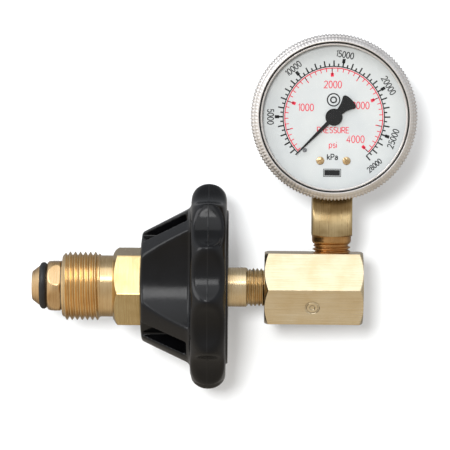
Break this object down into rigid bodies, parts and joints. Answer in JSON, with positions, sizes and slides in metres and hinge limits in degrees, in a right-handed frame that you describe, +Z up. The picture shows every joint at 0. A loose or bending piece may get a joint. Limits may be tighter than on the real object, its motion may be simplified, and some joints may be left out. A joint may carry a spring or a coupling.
{
  "type": "gas regulator",
  "caption": "Hand-tight gas cylinder inlet with a scalloped black handwheel, hexagonal brass body and a round pressure gauge standing on top.",
  "frame": {"origin": "centre of the flat end of the inlet nose, on the nipple's axis", "axes": "+X along the nipple from the nose to the body, +Z up along the gauge stem, the gauge faces -Y"},
  "size_m": [0.1366, 0.0746, 0.1282],
  "materials": {
    "nipple_brass": "turned",
    "nut_brass": "machined",
    "body_brass": "machined",
    "stem_brass": "milled, darkened",
    "small_brass": "turned",
    "sheet_brass": "stamped",
    "tube_bronze": "drawn",
    "filter_bronze": "sintered",
    "case_steel": "satin",
    "spring_steel": "bright",
    "black_plastic": "gloss",
    "black_rubber": "matte",
    "white_nylon": "matte",
    "dial_white": "satin",
    "pointer_black": "satin",
    "clear_window": "clear"
  },
  "bodies": {
    "nipple_and_gauge": {"inlet_nipple": "nipple_brass", "nose_o_ring": "black_rubber", "inlet_filter": "filter_bronze", "filter_retaining_ring": "spring_steel", "elbow_body": "body_brass", "gauge_socket": "stem_brass", "socket_restrictor": "small_brass", "bourdon_tube": "tube_bronze", "movement_bottom_plate": "sheet_brass", "movement_top_plate": "sheet_brass", "movement_pillars": "small_brass", "plate_screws": "small_brass", "movement_screws": "small_brass", "dial_posts": "small_brass", "dial": "dial_white", "dial_screws": "small_brass", "stop_pin": "pointer_black", "gauge_case": "case_steel", "case_screws": "spring_steel", "blowout_plug": "black_rubber", "bezel_ring": "case_steel", "window": "clear_window", "window_gasket": "black_rubber", "hairspring": "tube_bronze"},
    "washer": {"thrust_washer": "white_nylon"},
    "nut_and_wheel": {"inlet_nut": "nut_brass", "handwheel": "black_plastic", "wheel_retaining_ring": "spring_steel"},
    "pointer": {"pointer_blade": "pointer_black", "pointer_hub": "pointer_black", "pinion_spindle": "spring_steel", "hairspring_collet": "small_brass"},
    "sector": {"sector_gear": "sheet_brass", "sector_arbor": "spring_steel"},
    "tip": {"tube_tip": "small_brass"},
    "link_bar": {"link": "sheet_brass"}
  },
  "joints": [
    {"name": "nut_slide", "type": "slide", "parent": "nipple_and_gauge", "child": "washer", "axis": [1, 0, 0], "range_m": [0, 0.0127]},
    {"name": "handwheel_turn", "type": "hinge", "parent": "washer", "child": "nut_and_wheel", "pos_m": [0.05, 0, 0], "axis": [1, 0, 0], "continuous": true},
    {"name": "sector_turn", "type": "hinge", "parent": "nipple_and_gauge", "child": "sector", "pos_m": [0.11753, -0.0032, 0.0586], "axis": [0, -1, 0], "range_deg": [0, 24.55], "stiffness_Nm_per_rad": 0.02, "springref_deg": -5.73},
    {"name": "pointer_turn", "type": "hinge", "parent": "nipple_and_gauge", "child": "pointer", "pos_m": [0.1071, -0.012, 0.0614], "axis": [0, 1, 0], "range_deg": [0, 270.01], "deforming": ["hairspring"]},
    {"name": "tube_tip_move", "type": "slide", "parent": "nipple_and_gauge", "child": "tip", "axis": [0.2588, 0, 0.9659], "range_m": [0, 0.00192], "deforming": ["bourdon_tube"]},
    {"name": "link_turn", "type": "hinge", "parent": "sector", "child": "link_bar", "pos_m": [0.12153, -0.0042, 0.05654], "axis": [0, 1, 0], "range_deg": [0, 24.55]}
  ],
  "couplings": [
    {"joint": "pointer_turn", "follows": "sector_turn", "ratio": 11},
    {"joint": "tube_tip_move", "follows": "sector_turn", "m_per_rad": 0.0044657},
    {"joint": "link_turn", "follows": "sector_turn", "ratio": 1}
  ]
}
